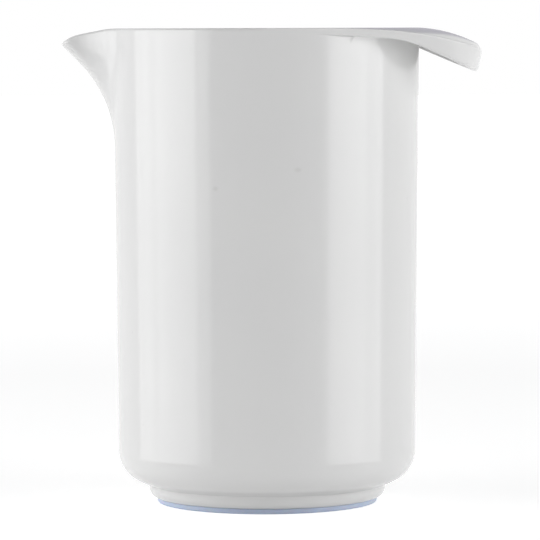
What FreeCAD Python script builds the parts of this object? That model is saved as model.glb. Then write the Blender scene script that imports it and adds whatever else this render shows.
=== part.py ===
import FreeCAD, Part
import math
import os
import Sketcher

# Mixing jug, millimetres, +Z up.  The origin is on the jug's axis, in the plane it stands on.
# The pouring beak points to -X and the grip, a brim that runs out from the rim, to +X.

sizes = {
    "JugHeight": 167.5,  # standing surface to rim
    "RimRadius": 54.0,  # outside of the wall at the rim
    "WallDraft": 0.57,  # lean of the wall, degrees
    "WallThickness": 2.6,
    "FloorThickness": 3.0,
    "RecessHeight": 7.0,  # underside of the floor above the standing surface
    "OuterCorner": 11.5,
    "InnerCorner": 8.8,
    "UnderSlope": 24.5,  # slope between the round corner and the foot, degrees
    "RingRadius": 37.0,  # middle of the non-slip ring
    "RingWidth": 3.8,
    "RingHeight": 1.8,  # how far the ring stands out below the foot
    "RingRounding": 1.2,
    "TongueWidth": 2.0,
    "TongueHeight": 2.0,
    "FootOutside": 5.0,  # the foot reaches this far out from the ring's middle
    "FootInside": 2.6,  # and this far in
    "FootRounding": 3.4,
    "CreaseHeight": 6.3,
    "SpoutDepth": 41.4,  # rim down to where the beak leaves the wall
    "SpoutSweep": 42.5,  # radius of the beak's sweep away from the wall
    "SpoutAngle": 45.0,  # slope that the sweep ends at, degrees
    "NoseRadius": 4.6,  # radius across the beak's keel
    "FlankRadius": 26.0,  # hollow between the keel and the wall
    "RootSpread": 7.0,  # half the angle the beak takes from the wall at its foot, degrees
    "RootShare": 0.85,  # the keel's part of that angle
    "Overrun": 2.0,  # beak and brim are raised this far above the rim, then trimmed
    "TipRadius": 4.2,  # keel radius at the raised end
    "LipInset": 2.5,  # the rim begins to fall towards the tip this far inside its outer edge
    "LipRadius": 45.0,
    "TipFall": 36.0,  # slope at the tip, degrees
    "BrimStart": 10.0,  # azimuth past the Y axis where the brim leaves the rim, degrees
    "BrimReach": 24.15,  # how far the brim's outline reaches past the rim, in the rim's plane
    "BrimFlank": 180.0,  # radii of the outline's flanks and corners
    "BrimCorner": 28.0,
    "BrimFlattening": 1.0,  # the outline's end has a radius this much larger than the rim's
    "BrimDraft": 13.0,  # lean of the brim's skirt, degrees
    "BrimDepth": 18.0,
    "BrimWall": 2.6,
    "CrownInset": 2.7,  # the crown is highest this far inside the rim's outer edge
    "CrownRadius": 50.0,
    "CrownReach": 19.6,  # and begins to roll over this far outside it
    "RollRadius": 4.2,
    "RollSlope": 72.0,
    "EdgeDepth": 1.3,  # the brim's lower edge below the rim, above the axis
    "EdgeSlope": 3.4,
    "EdgeInset": 22.0,  # the lower edge begins to bend down this far inside the rim
    "EdgeBend": 62.0,
    "EdgeFall": 23.7,  # slope of the lower edge at the nose, degrees
    "RimRounding": 1.0,
}

document = FreeCAD.newDocument("MixingJug")
sheet = document.addObject("Spreadsheet::Sheet", "Sizes")
for row, (alias, value) in enumerate(sizes.items(), start=1):
    sheet.set("A%d" % row, alias)
    sheet.set("B%d" % row, str(value))
    sheet.setAlias("B%d" % row, alias)
document.recompute()

axisX = -1  # a sketch's own horizontal axis, whose start point is the origin
axisY = -2  # and its vertical axis
start, end, centre = 1, 2, 3  # the points of a line or an arc
beakStations = ("1 / 4", "1 / 2", "3 / 4", "1")  # shares of the sweep where the beak has a section

sharpAngle = 30  # faces that meet at less than this many degrees run smoothly into each other

# places that follow the ring or the rim
footRadius = "(Sizes.RingRadius + Sizes.FootOutside)"
footInnerRadius = "(Sizes.RingRadius - Sizes.FootInside)"
lipStart = "(Sizes.RimRadius - Sizes.LipInset)"
brimReach = "(Sizes.RimRadius + Sizes.BrimReach)"
brimEnd = "(Sizes.RimRadius + Sizes.BrimFlattening)"
crownCentre = "(Sizes.RimRadius - Sizes.CrownInset)"
crownBreak = "(Sizes.RimRadius + Sizes.CrownReach)"
edgeBreak = "(Sizes.RimRadius - Sizes.EdgeInset)"

# where the cutting profiles end, clear of the jug
farSide = brimReach + " + Sizes.SpoutDepth"
aboveRim = "Sizes.JugHeight + Sizes.Overrun * 2"
belowBrim = "Sizes.JugHeight - Sizes.BrimDepth * 2"


def size(alias):
    return float(sheet.get(alias))


def work(expression):
    """Works an expression of the sheet out, for a sketch's first geometry."""
    return float(sheet.evalExpression(expression))


def newBody(name):
    body = document.addObject("PartDesign::Body", name)
    body.Label = name
    return body


def newSketch(body, name, role, height=None):
    sketch = body.newObject("Sketcher::SketchObject", name)
    plane = [item for item in body.Origin.OriginFeatures if item.Role == role][0]
    sketch.AttachmentSupport = [(plane, "")]
    sketch.MapMode = "FlatFace"
    if height:
        sketch.setExpression("AttachmentOffset.Base.z", height)
    return sketch


def addLine(sketch, first, last):
    return sketch.addGeometry(Part.LineSegment(FreeCAD.Vector(*first, 0), FreeCAD.Vector(*last, 0)))


def addArc(sketch, middle, radius, startAngle, endAngle):
    circle = Part.Circle(FreeCAD.Vector(*middle, 0), FreeCAD.Vector(0, 0, 1), radius)
    return sketch.addGeometry(Part.ArcOfCircle(circle, math.radians(startAngle), math.radians(endAngle)))


def tie(sketch, kind, *items):
    return sketch.addConstraint(Sketcher.Constraint(kind, *items))


def drive(sketch, name, expression, kind, *items):
    """Adds a measured constraint and binds it to the sheet."""
    value = work(expression)
    if kind == "Angle":
        value = math.radians(value)
    index = sketch.addConstraint(Sketcher.Constraint(kind, *items, value))
    sketch.renameConstraint(index, name)
    sketch.setExpression("Constraints." + name, expression)
    return index


def addWallSection(body):
    """Half section of wall, floor and foot, from the standing side up to where the beak starts."""
    sketch = newSketch(body, "WallSection", "XZ_Plane")
    lean = math.radians(size("WallDraft"))
    slope = math.radians(size("UnderSlope"))
    top = size("JugHeight") - size("SpoutDepth")
    outerTop = size("RimRadius") - size("SpoutDepth") * math.tan(lean)
    innerTop = outerTop - size("WallThickness")
    floor = size("RecessHeight") + size("FloorThickness")
    foot = size("RingHeight")
    notch = foot + size("TongueHeight")
    footOuter = work(footRadius)
    footInner = work(footInnerRadius)
    grooveIn = size("RingRadius") - size("TongueWidth") / 2
    grooveOut = size("RingRadius") + size("TongueWidth") / 2
    # a round corner touches the leaning wall on one side and the floor or the slope under it on the other
    innerRound = size("InnerCorner")
    innerZ = floor + innerRound
    innerArc = (innerTop - (top - innerZ) * math.tan(lean) - innerRound / math.cos(lean), innerZ)
    innerLow = (innerArc[0] + innerRound * math.cos(lean), innerZ - innerRound * math.sin(lean))
    outerRound = size("OuterCorner")
    outerX = outerTop - outerRound / math.cos(lean)
    reach = outerX - top * math.tan(lean) - footOuter
    rise = size("CreaseHeight") * math.cos(slope) + outerRound + reach * math.sin(slope)
    outerZ = rise / (math.cos(slope) - math.tan(lean) * math.sin(slope))
    outerArc = (outerX - (top - outerZ) * math.tan(lean), outerZ)
    outerLow = (outerArc[0] + outerRound * math.cos(lean), outerZ - outerRound * math.sin(lean))
    underTop = (outerArc[0] + outerRound * math.sin(slope), outerZ - outerRound * math.cos(slope))
    footArc = (footOuter - size("FootRounding"), foot + size("FootRounding"))

    axis = addLine(sketch, (0, size("RecessHeight")), (0, floor))
    floorTop = addLine(sketch, (0, floor), (innerArc[0], floor))
    innerTurn = addArc(sketch, innerArc, size("InnerCorner"), -90, -size("WallDraft"))
    innerWall = addLine(sketch, innerLow, (innerTop, top))
    land = addLine(sketch, (innerTop, top), (outerTop, top))
    outerWall = addLine(sketch, (outerTop, top), outerLow)
    outerTurn = addArc(sketch, outerArc, size("OuterCorner"), size("UnderSlope") - 90, -size("WallDraft"))
    under = addLine(sketch, underTop, (footOuter, size("CreaseHeight")))
    footWall = addLine(sketch, (footOuter, size("CreaseHeight")), (footOuter, footArc[1]))
    footTurn = addArc(sketch, footArc, size("FootRounding"), -90, 0)
    outerLand = addLine(sketch, (footArc[0], foot), (grooveOut, foot))
    grooveOuter = addLine(sketch, (grooveOut, foot), (grooveOut, notch))
    grooveTop = addLine(sketch, (grooveOut, notch), (grooveIn, notch))
    grooveInner = addLine(sketch, (grooveIn, notch), (grooveIn, foot))
    innerLand = addLine(sketch, (grooveIn, foot), (footInner, foot))
    footInside = addLine(sketch, (footInner, foot), (footInner, size("RecessHeight")))
    recess = addLine(sketch, (footInner, size("RecessHeight")), (0, size("RecessHeight")))

    tie(sketch, "Coincident", axis, end, floorTop, start)
    tie(sketch, "Tangent", floorTop, end, innerTurn, start)
    tie(sketch, "Tangent", innerTurn, end, innerWall, start)
    tie(sketch, "Coincident", innerWall, end, land, start)
    tie(sketch, "Coincident", land, end, outerWall, start)
    tie(sketch, "Tangent", outerWall, end, outerTurn, end)
    tie(sketch, "Tangent", outerTurn, start, under, start)
    tie(sketch, "Coincident", under, end, footWall, start)
    tie(sketch, "Tangent", footWall, end, footTurn, end)
    tie(sketch, "Tangent", footTurn, start, outerLand, start)
    for first, last in ((outerLand, grooveOuter), (grooveOuter, grooveTop), (grooveTop, grooveInner),
                        (grooveInner, innerLand), (innerLand, footInside), (footInside, recess),
                        (recess, axis)):
        tie(sketch, "Coincident", first, end, last, start)
    for flat in (floorTop, land, outerLand, grooveTop, innerLand, recess):
        tie(sketch, "Horizontal", flat)
    for upright in (footWall, grooveOuter, grooveInner, footInside):
        tie(sketch, "Vertical", upright)
    tie(sketch, "PointOnObject", axis, start, axisY)
    tie(sketch, "PointOnObject", axis, end, axisY)
    tie(sketch, "Parallel", innerWall, outerWall)
    drive(sketch, "recessHeight", "Sizes.RecessHeight", "DistanceY", axis, start)
    drive(sketch, "floorThickness", "Sizes.FloorThickness", "DistanceY", axis, start, axis, end)
    drive(sketch, "innerCorner", "Sizes.InnerCorner", "Radius", innerTurn)
    drive(sketch, "wallTop", "Sizes.JugHeight - Sizes.SpoutDepth", "DistanceY", outerWall, start)
    drive(sketch, "wallThickness", "Sizes.WallThickness", "DistanceX", land, start, land, end)
    drive(sketch, "wallRadius", "Sizes.RimRadius - Sizes.SpoutDepth * tan(Sizes.WallDraft)", "DistanceX",
          outerWall, start)
    drive(sketch, "wallLean", "-90 - Sizes.WallDraft", "Angle", outerWall)
    drive(sketch, "outerCorner", "Sizes.OuterCorner", "Radius", outerTurn)
    drive(sketch, "underSlope", "Sizes.UnderSlope - 180", "Angle", under)
    drive(sketch, "footRadius", footRadius, "DistanceX", under, end)
    drive(sketch, "creaseHeight", "Sizes.CreaseHeight", "DistanceY", under, end)
    drive(sketch, "footRounding", "Sizes.FootRounding", "Radius", footTurn)
    drive(sketch, "footLift", "Sizes.RingHeight", "DistanceY", outerLand, end)
    drive(sketch, "grooveOuter", "Sizes.RingRadius + Sizes.TongueWidth / 2", "DistanceX", grooveOuter, start)
    drive(sketch, "grooveInner", "Sizes.RingRadius - Sizes.TongueWidth / 2", "DistanceX", grooveInner, start)
    drive(sketch, "grooveDepth", "Sizes.TongueHeight", "DistanceY", grooveOuter, start, grooveOuter, end)
    tie(sketch, "Horizontal", grooveOuter, start, grooveInner, end)
    drive(sketch, "footInner", footInnerRadius, "DistanceX", footInside, start)
    return sketch


def addBeakSection(body, name, depth, advance, noseRadius, inset):
    """Level section of wall and beak: the round wall, the keel and a hollow flank on either side."""
    sketch = newSketch(body, name, "XY_Plane", "Sizes.JugHeight - (%s)" % depth)
    wall = "Sizes.RimRadius - (%s) * tan(Sizes.WallDraft)" % depth
    keel = "%s + %s - %s" % (wall, advance, noseRadius)
    wallRadius = work(wall)
    nose = work(noseRadius)
    reach = work(keel)
    flank = size("FlankRadius")
    shrink = work(inset)
    along = (reach ** 2 + (wallRadius + flank) ** 2 - (nose + flank) ** 2) / (2 * reach)
    across = math.sqrt((wallRadius + flank) ** 2 - along ** 2)
    wallAngle = math.degrees(math.atan2(across, along))
    noseAngle = math.degrees(math.atan2(across, along - reach))
    shell = addArc(sketch, (0, 0), wallRadius - shrink, wallAngle - 180, 180 - wallAngle)
    left = addArc(sketch, (-along, across), flank + shrink, -noseAngle, -wallAngle)
    tip = addArc(sketch, (-reach, 0), nose - shrink, 180 - noseAngle, 180 + noseAngle)
    right = addArc(sketch, (-along, -across), flank + shrink, wallAngle, noseAngle)
    tie(sketch, "Tangent", shell, end, left, end)
    tie(sketch, "Tangent", left, start, tip, start)
    tie(sketch, "Tangent", tip, end, right, end)
    tie(sketch, "Tangent", right, start, shell, start)
    tie(sketch, "Coincident", shell, centre, -1, start)
    tie(sketch, "PointOnObject", tip, centre, axisX)
    tie(sketch, "Equal", left, right)
    drive(sketch, "wallRadius", "%s - %s" % (wall, inset), "Radius", shell)
    drive(sketch, "noseRadius", "%s - %s" % (noseRadius, inset), "Radius", tip)
    drive(sketch, "flankRadius", "Sizes.FlankRadius + %s" % inset, "Radius", left)
    drive(sketch, "keelReach", "-(%s)" % keel, "DistanceX", tip, centre)
    return sketch


def addRoundSection(body, name, inset):
    """The plain round section that the beak grows from, split where the beak's arcs meet."""
    sketch = newSketch(body, name, "XY_Plane", "Sizes.JugHeight - Sizes.SpoutDepth")
    wall = "Sizes.RimRadius - Sizes.SpoutDepth * tan(Sizes.WallDraft) - %s" % inset
    radius = work(wall)
    wide = 180 - size("RootSpread")
    narrow = 180 - size("RootSpread") * size("RootShare")
    shell = addArc(sketch, (0, 0), radius, -wide, wide)
    left = addArc(sketch, (0, 0), radius, wide, narrow)
    tip = addArc(sketch, (0, 0), radius, narrow, 360 - narrow)
    right = addArc(sketch, (0, 0), radius, 360 - narrow, 360 - wide)
    for arc in (shell, left, tip, right):
        tie(sketch, "Coincident", arc, centre, -1, start)
    tie(sketch, "Coincident", shell, end, left, start)
    tie(sketch, "Coincident", left, end, tip, start)
    tie(sketch, "Coincident", tip, end, right, start)
    tie(sketch, "Horizontal", right, end, shell, start)
    drive(sketch, "wallRadius", wall, "Radius", shell)
    spread = "(%s) * sin(Sizes.RootSpread)" % wall
    tightSpread = "(%s) * sin(Sizes.RootSpread * Sizes.RootShare)" % wall
    drive(sketch, "leftSpread", spread, "DistanceY", shell, end)
    drive(sketch, "rightSpread", "-" + spread, "DistanceY", shell, start)
    drive(sketch, "leftTip", tightSpread, "DistanceY", tip, start)
    drive(sketch, "rightTip", "-" + tightSpread, "DistanceY", tip, end)
    return sketch


def addBeakLoft(body, kind, name, inset):
    """Lofts the wall from the round section through the beak's sections to above the rim."""
    sections = [addRoundSection(body, name + "Root", inset)]
    for number, share in enumerate(beakStations, start=1):
        angle = "(Sizes.SpoutAngle * %s)" % share
        depth = "Sizes.SpoutDepth - Sizes.SpoutSweep * sin(%s)" % angle
        advance = "Sizes.SpoutSweep * (1 - cos(%s))" % angle
        nose = "Sizes.NoseRadius / sin(%s)" % angle
        sections.append(addBeakSection(body, "%sSection%d" % (name, number), depth, advance, nose, inset))
    rest = "(Sizes.SpoutDepth - Sizes.SpoutSweep * sin(Sizes.SpoutAngle) + Sizes.Overrun)"
    advance = "(Sizes.SpoutSweep * (1 - cos(Sizes.SpoutAngle)) + %s * tan(Sizes.SpoutAngle))" % rest
    sections.append(addBeakSection(body, name + "Top", "-Sizes.Overrun", advance, "Sizes.TipRadius", inset))
    document.recompute()
    loft = body.newObject(kind, name)
    loft.Profile = (sections[0], [""])
    loft.Sections = [(section, [""]) for section in sections[1:]]
    document.recompute()
    return loft


def addBrimOutline(body, name, inset):
    """Plan of the brim: it leaves the rim tangent to it and closes in to the jug's axis."""
    sketch = newSketch(body, name, "XY_Plane", "Sizes.JugHeight + Sizes.Overrun")
    shrink = work(inset)
    turn = math.radians(size("BrimStart"))
    swing = size("BrimFlank") - size("RimRadius")
    flankMiddle = (-swing * math.sin(turn), swing * math.cos(turn))
    endMiddle = (work(brimReach + " - " + brimEnd), 0)
    near = size("BrimFlank") - size("BrimCorner")
    far = work(brimEnd) - size("BrimCorner")
    # the corner's centre is where circles about the other two centres cross
    apart = math.dist(flankMiddle, endMiddle)
    along = (apart ** 2 + near ** 2 - far ** 2) / (2 * apart)
    across = math.sqrt(near ** 2 - along ** 2)
    unit = ((endMiddle[0] - flankMiddle[0]) / apart, (endMiddle[1] - flankMiddle[1]) / apart)
    cornerMiddle = (flankMiddle[0] + along * unit[0] - across * unit[1],
                    flankMiddle[1] + along * unit[1] + across * unit[0])
    first = math.degrees(math.atan2(cornerMiddle[1] - flankMiddle[1], cornerMiddle[0] - flankMiddle[0]))
    second = math.degrees(math.atan2(cornerMiddle[1] - endMiddle[1], cornerMiddle[0] - endMiddle[0]))
    begin = size("BrimStart") - 90
    edge = size("RimRadius") - shrink
    leave = (edge * math.sin(turn), -edge * math.cos(turn))
    flankNear = addArc(sketch, flankMiddle, size("BrimFlank") - shrink, begin, first)
    cornerNear = addArc(sketch, cornerMiddle, size("BrimCorner") - shrink, first, second)
    tip = addArc(sketch, endMiddle, work(brimEnd) - shrink, second, -second)
    mirrored = (cornerMiddle[0], -cornerMiddle[1])
    cornerFar = addArc(sketch, mirrored, size("BrimCorner") - shrink, -second, -first)
    flankFar = addArc(sketch, (flankMiddle[0], -flankMiddle[1]), size("BrimFlank") - shrink, -first, -begin)
    sideFar = addLine(sketch, (leave[0], -leave[1]), (0, 0))
    sideNear = addLine(sketch, (0, 0), leave)
    chain = (flankNear, cornerNear, tip, cornerFar, flankFar)
    for one, other in zip(chain, chain[1:]):
        tie(sketch, "Tangent", one, end, other, start)
    tie(sketch, "Coincident", flankFar, end, sideFar, start)
    tie(sketch, "Coincident", sideFar, end, -1, start)
    tie(sketch, "Coincident", sideNear, start, -1, start)
    tie(sketch, "Coincident", sideNear, end, flankNear, start)
    tie(sketch, "Equal", cornerNear, cornerFar)
    tie(sketch, "Equal", flankNear, flankFar)
    tie(sketch, "Symmetric", flankNear, centre, flankFar, centre, axisX)
    tie(sketch, "PointOnObject", tip, centre, axisX)
    drive(sketch, "flankRadius", "Sizes.BrimFlank - (%s)" % inset, "Radius", flankNear)
    drive(sketch, "cornerRadius", "Sizes.BrimCorner - (%s)" % inset, "Radius", cornerNear)
    drive(sketch, "endRadius", brimEnd + " - (%s)" % inset, "Radius", tip)
    drive(sketch, "endCentre", brimReach + " - " + brimEnd, "DistanceX", tip, centre)
    drive(sketch, "flankCentreX", "-(Sizes.BrimFlank - Sizes.RimRadius) * sin(Sizes.BrimStart)", "DistanceX",
          flankNear, centre)
    drive(sketch, "flankCentreY", "(Sizes.BrimFlank - Sizes.RimRadius) * cos(Sizes.BrimStart)", "DistanceY",
          flankNear, centre)
    leaveAt = "(Sizes.RimRadius - (%s)) * sin(Sizes.BrimStart)" % inset
    drive(sketch, "leaveNear", leaveAt, "DistanceX", flankNear, start)
    drive(sketch, "leaveFar", leaveAt, "DistanceX", flankFar, end)
    return sketch


def addCrownProfile(body, name, inset):
    """What the brim's crown clears away: it falls in one long arc and rolls over at the nose."""
    sketch = newSketch(body, name, "XZ_Plane")
    crownZ = "Sizes.JugHeight - sqrt(Sizes.CrownRadius^2 - Sizes.CrownInset^2)"
    middle = (work(crownCentre), work(crownZ))
    shrink = work(inset)
    radius = size("CrownRadius") - shrink
    lean = math.asin((size("CrownReach") + size("CrownInset")) / size("CrownRadius"))
    small = size("RollRadius") - shrink
    gap = radius - small
    noseMiddle = (middle[0] + gap * math.sin(lean), middle[1] + gap * math.cos(lean))
    begin = size("RimRadius") - shrink
    top = work(aboveRim)
    beginZ = middle[1] + math.sqrt(radius ** 2 - (begin - middle[0]) ** 2)
    steep = math.radians(size("RollSlope"))
    out = work(farSide)
    leave = (noseMiddle[0] + small * math.sin(steep), noseMiddle[1] + small * math.cos(steep))
    fall = leave[1] - (out - leave[0]) * math.tan(steep)
    crown = addArc(sketch, middle, radius, 90 - math.degrees(lean),
                   math.degrees(math.acos((begin - middle[0]) / radius)))
    nose = addArc(sketch, noseMiddle, small, 90 - size("RollSlope"), 90 - math.degrees(lean))
    slope = addLine(sketch, leave, (out, fall))
    outside = addLine(sketch, (out, fall), (out, top))
    above = addLine(sketch, (out, top), (begin, top))
    inside = addLine(sketch, (begin, top), (begin, beginZ))
    tie(sketch, "Tangent", crown, start, nose, end)
    tie(sketch, "Tangent", nose, start, slope, start)
    tie(sketch, "Coincident", slope, end, outside, start)
    tie(sketch, "Coincident", outside, end, above, start)
    tie(sketch, "Coincident", above, end, inside, start)
    tie(sketch, "Coincident", inside, end, crown, end)
    tie(sketch, "Vertical", outside)
    tie(sketch, "Vertical", inside)
    tie(sketch, "Horizontal", above)
    drive(sketch, "crownX", crownCentre, "DistanceX", crown, centre)
    drive(sketch, "crownZ", crownZ, "DistanceY", crown, centre)
    drive(sketch, "crownRadius", "Sizes.CrownRadius - %s" % inset, "Radius", crown)
    drive(sketch, "noseRadius", "Sizes.RollRadius - %s" % inset, "Radius", nose)
    pull = " - (Sizes.CrownReach + Sizes.CrownInset) * (%s) / Sizes.CrownRadius" % inset
    drive(sketch, "crownBreak", crownBreak + pull, "DistanceX", crown, start)
    drive(sketch, "noseSlope", "-Sizes.RollSlope", "Angle", slope)
    drive(sketch, "outside", farSide, "DistanceX", slope, end)
    drive(sketch, "above", aboveRim, "DistanceY", above, end)
    drive(sketch, "inside", "Sizes.RimRadius - %s" % inset, "DistanceX", inside, start)
    return sketch


def addBrimEdge(body):
    """What lies below the brim's lower edge: level near the rim, falling towards the nose."""
    sketch = newSketch(body, "BrimEdge", "XZ_Plane")
    gentle = math.radians(size("EdgeSlope"))
    steep = math.radians(size("EdgeFall"))
    rim = size("JugHeight")
    first = (0, rim - size("EdgeDepth"))
    bend = (work(edgeBreak), first[1] - work(edgeBreak) * math.tan(gentle))
    middle = (bend[0] - size("EdgeBend") * math.sin(gentle), bend[1] - size("EdgeBend") * math.cos(gentle))
    leave = (middle[0] + size("EdgeBend") * math.sin(steep), middle[1] + size("EdgeBend") * math.cos(steep))
    out = work(farSide)
    last = (out, leave[1] - (out - leave[0]) * math.tan(steep))
    low = work(belowBrim)
    level = addLine(sketch, first, bend)
    turn = addArc(sketch, middle, size("EdgeBend"), 90 - size("EdgeFall"), 90 - size("EdgeSlope"))
    fall = addLine(sketch, leave, last)
    outside = addLine(sketch, last, (out, low))
    below = addLine(sketch, (out, low), (0, low))
    inside = addLine(sketch, (0, low), first)
    tie(sketch, "Tangent", level, end, turn, end)
    tie(sketch, "Tangent", turn, start, fall, start)
    for one, other in ((fall, outside), (outside, below), (below, inside), (inside, level)):
        tie(sketch, "Coincident", one, end, other, start)
    tie(sketch, "PointOnObject", level, start, axisY)
    tie(sketch, "Vertical", outside)
    tie(sketch, "Vertical", inside)
    tie(sketch, "Horizontal", below)
    drive(sketch, "edgeStart", "Sizes.JugHeight - Sizes.EdgeDepth", "DistanceY", level, start)
    drive(sketch, "edgeSlope", "-Sizes.EdgeSlope", "Angle", level)
    drive(sketch, "edgeBreak", edgeBreak, "DistanceX", level, end)
    drive(sketch, "edgeBend", "Sizes.EdgeBend", "Radius", turn)
    drive(sketch, "edgeEndSlope", "-Sizes.EdgeFall", "Angle", fall)
    drive(sketch, "outside", farSide, "DistanceX", fall, end)
    drive(sketch, "below", belowBrim, "DistanceY", below, start)
    return sketch


def addLipProfile(body):
    """What is trimmed off above the rim, with the fall of the rim towards the beak's tip."""
    sketch = newSketch(body, "LipProfile", "XZ_Plane")
    rim = size("JugHeight")
    far = work(farSide)
    top = work(aboveRim)
    tipAngle = math.radians(size("TipFall"))
    middle = (-work(lipStart), rim - size("LipRadius"))
    tip = (middle[0] - size("LipRadius") * math.sin(tipAngle),
           middle[1] + size("LipRadius") * math.cos(tipAngle))
    last = (-far, tip[1] - (tip[0] + far) * math.tan(tipAngle))
    land = addLine(sketch, (far, rim), (middle[0], rim))
    lip = addArc(sketch, middle, size("LipRadius"), 90, 90 + size("TipFall"))
    fall = addLine(sketch, tip, last)
    outside = addLine(sketch, last, (-far, top))
    above = addLine(sketch, (-far, top), (far, top))
    inside = addLine(sketch, (far, top), (far, rim))
    tie(sketch, "Tangent", land, end, lip, start)
    tie(sketch, "Tangent", lip, end, fall, start)
    for one, other in ((fall, outside), (outside, above), (above, inside), (inside, land)):
        tie(sketch, "Coincident", one, end, other, start)
    for level in (land, above):
        tie(sketch, "Horizontal", level)
    for upright in (outside, inside):
        tie(sketch, "Vertical", upright)
    drive(sketch, "rimHeight", "Sizes.JugHeight", "DistanceY", land, start)
    drive(sketch, "brimSide", farSide, "DistanceX", land, start)
    drive(sketch, "lipStart", "-" + lipStart, "DistanceX", land, end)
    drive(sketch, "lipRadius", "Sizes.LipRadius", "Radius", lip)
    drive(sketch, "tipFall", "Sizes.TipFall - 180", "Angle", fall)
    drive(sketch, "beakSide", "-(%s)" % farSide, "DistanceX", fall, end)
    drive(sketch, "above", aboveRim, "DistanceY", above, start)
    return sketch


def addRingSection(body):
    """Half section of the non-slip ring: a band under the foot and a tongue up into its groove."""
    sketch = newSketch(body, "RingSection", "XZ_Plane")
    inner = size("RingRadius") - size("RingWidth") / 2
    outer = size("RingRadius") + size("RingWidth") / 2
    tongueIn = size("RingRadius") - size("TongueWidth") / 2
    tongueOut = size("RingRadius") + size("TongueWidth") / 2
    high = size("RingHeight")
    top = high + size("TongueHeight")
    curve = size("RingRounding")
    bottom = addLine(sketch, (inner, 0), (outer - curve, 0))
    turn = addArc(sketch, (outer - curve, curve), curve, -90, 0)
    outside = addLine(sketch, (outer, curve), (outer, high))
    outerLedge = addLine(sketch, (outer, high), (tongueOut, high))
    tongueOuter = addLine(sketch, (tongueOut, high), (tongueOut, top))
    tongueTop = addLine(sketch, (tongueOut, top), (tongueIn, top))
    tongueInner = addLine(sketch, (tongueIn, top), (tongueIn, high))
    innerLedge = addLine(sketch, (tongueIn, high), (inner, high))
    inside = addLine(sketch, (inner, high), (inner, 0))
    tie(sketch, "Tangent", bottom, end, turn, start)
    tie(sketch, "Tangent", turn, end, outside, start)
    chain = (outside, outerLedge, tongueOuter, tongueTop, tongueInner, innerLedge, inside, bottom)
    for one, other in zip(chain, chain[1:]):
        tie(sketch, "Coincident", one, end, other, start)
    for flat in (bottom, outerLedge, tongueTop):
        tie(sketch, "Horizontal", flat)
    tie(sketch, "Horizontal", outerLedge, end, innerLedge, start)
    tie(sketch, "Horizontal", innerLedge)
    for upright in (tongueOuter, tongueInner, inside):
        tie(sketch, "Vertical", upright)
    tie(sketch, "PointOnObject", bottom, start, axisX)
    drive(sketch, "ringInner", "Sizes.RingRadius - Sizes.RingWidth / 2", "DistanceX", bottom, start)
    drive(sketch, "ringOuter", "Sizes.RingRadius + Sizes.RingWidth / 2", "DistanceX", outside, end)
    drive(sketch, "ringHeight", "Sizes.RingHeight", "DistanceY", outside, end)
    drive(sketch, "ringRounding", "Sizes.RingRounding", "Radius", turn)
    drive(sketch, "tongueOuter", "Sizes.RingRadius + Sizes.TongueWidth / 2", "DistanceX", tongueOuter, start)
    drive(sketch, "tongueInner", "Sizes.RingRadius - Sizes.TongueWidth / 2", "DistanceX", tongueInner, start)
    drive(sketch, "tongueHeight", "Sizes.TongueHeight", "DistanceY", tongueOuter, start, tongueOuter, end)
    return sketch


def spin(body, kind, name, sketch):
    feature = body.newObject(kind, name)
    feature.Profile = sketch
    feature.ReferenceAxis = (sketch, ["V_Axis"])
    document.recompute()
    return feature


def addBrimBlock(body, name, inset):
    """The brim's solid form, or with an inset the hollow under it."""
    outline = addBrimOutline(body, name + "Outline", inset + " - Sizes.Overrun * tan(Sizes.BrimDraft)")
    block = body.newObject("PartDesign::Pad", name)
    block.Profile = outline
    block.Reversed = True
    block.setExpression("Length", "Sizes.BrimDepth + Sizes.Overrun")
    block.setExpression("TaperAngle", "-Sizes.BrimDraft")
    document.recompute()
    full = block.Shape.Volume
    crownProfile = addCrownProfile(body, name + "CrownProfile", inset)
    crown = spin(body, "PartDesign::Groove", name + "Crown", crownProfile)
    if crown.Shape.Volume >= full:
        raise RuntimeError(name + " crown cut nothing")
    return crown


def trim(body, name, sketch, before):
    """Cuts the sketch's region away across the whole width of the jug."""
    pocket = body.newObject("PartDesign::Pocket", name)
    pocket.Profile = sketch
    pocket.SideType = "Symmetric"
    pocket.setExpression("Length", "Sizes.RimRadius * 4")
    document.recompute()
    if pocket.Shape.Volume >= before.Shape.Volume:
        raise RuntimeError(name + " cut nothing")
    return pocket


def meetsAtRim(faces, middle):
    """Whether an upward face meets an outward one here: rim, lip and the brim's crown."""
    outward = FreeCAD.Vector(middle.x, middle.y, 0).normalize()
    first, second = [face.normalAt(*face.Surface.parameter(middle)) for face in faces]
    if math.degrees(first.getAngle(second)) < sharpAngle:
        return False
    slight = math.sin(math.radians(sharpAngle / 2))
    return any(top.z > slight and side.z < slight and side.dot(outward) > slight
               for top, side in ((first, second), (second, first)))


def addRounding(body, name, before):
    """Rounds the outer edge all the way round the rim, the lip and the brim."""
    shape = before.Shape
    picked = []
    for number, edge in enumerate(shape.Edges, start=1):
        faces = shape.ancestorsOfType(edge, Part.Face)
        middle = edge.valueAt((edge.FirstParameter + edge.LastParameter) / 2)
        if len(faces) == 2 and middle.z > work(belowBrim) and meetsAtRim(faces, middle):
            picked.append("Edge%d" % number)
    rounding = body.newObject("PartDesign::Fillet", name)
    rounding.Base = (before, picked)
    rounding.setExpression("Radius", "Sizes.RimRounding")
    document.recompute()
    return rounding


hollow = newBody("BrimHollow")
addBrimBlock(hollow, "Hollow", "Sizes.BrimWall")

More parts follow.
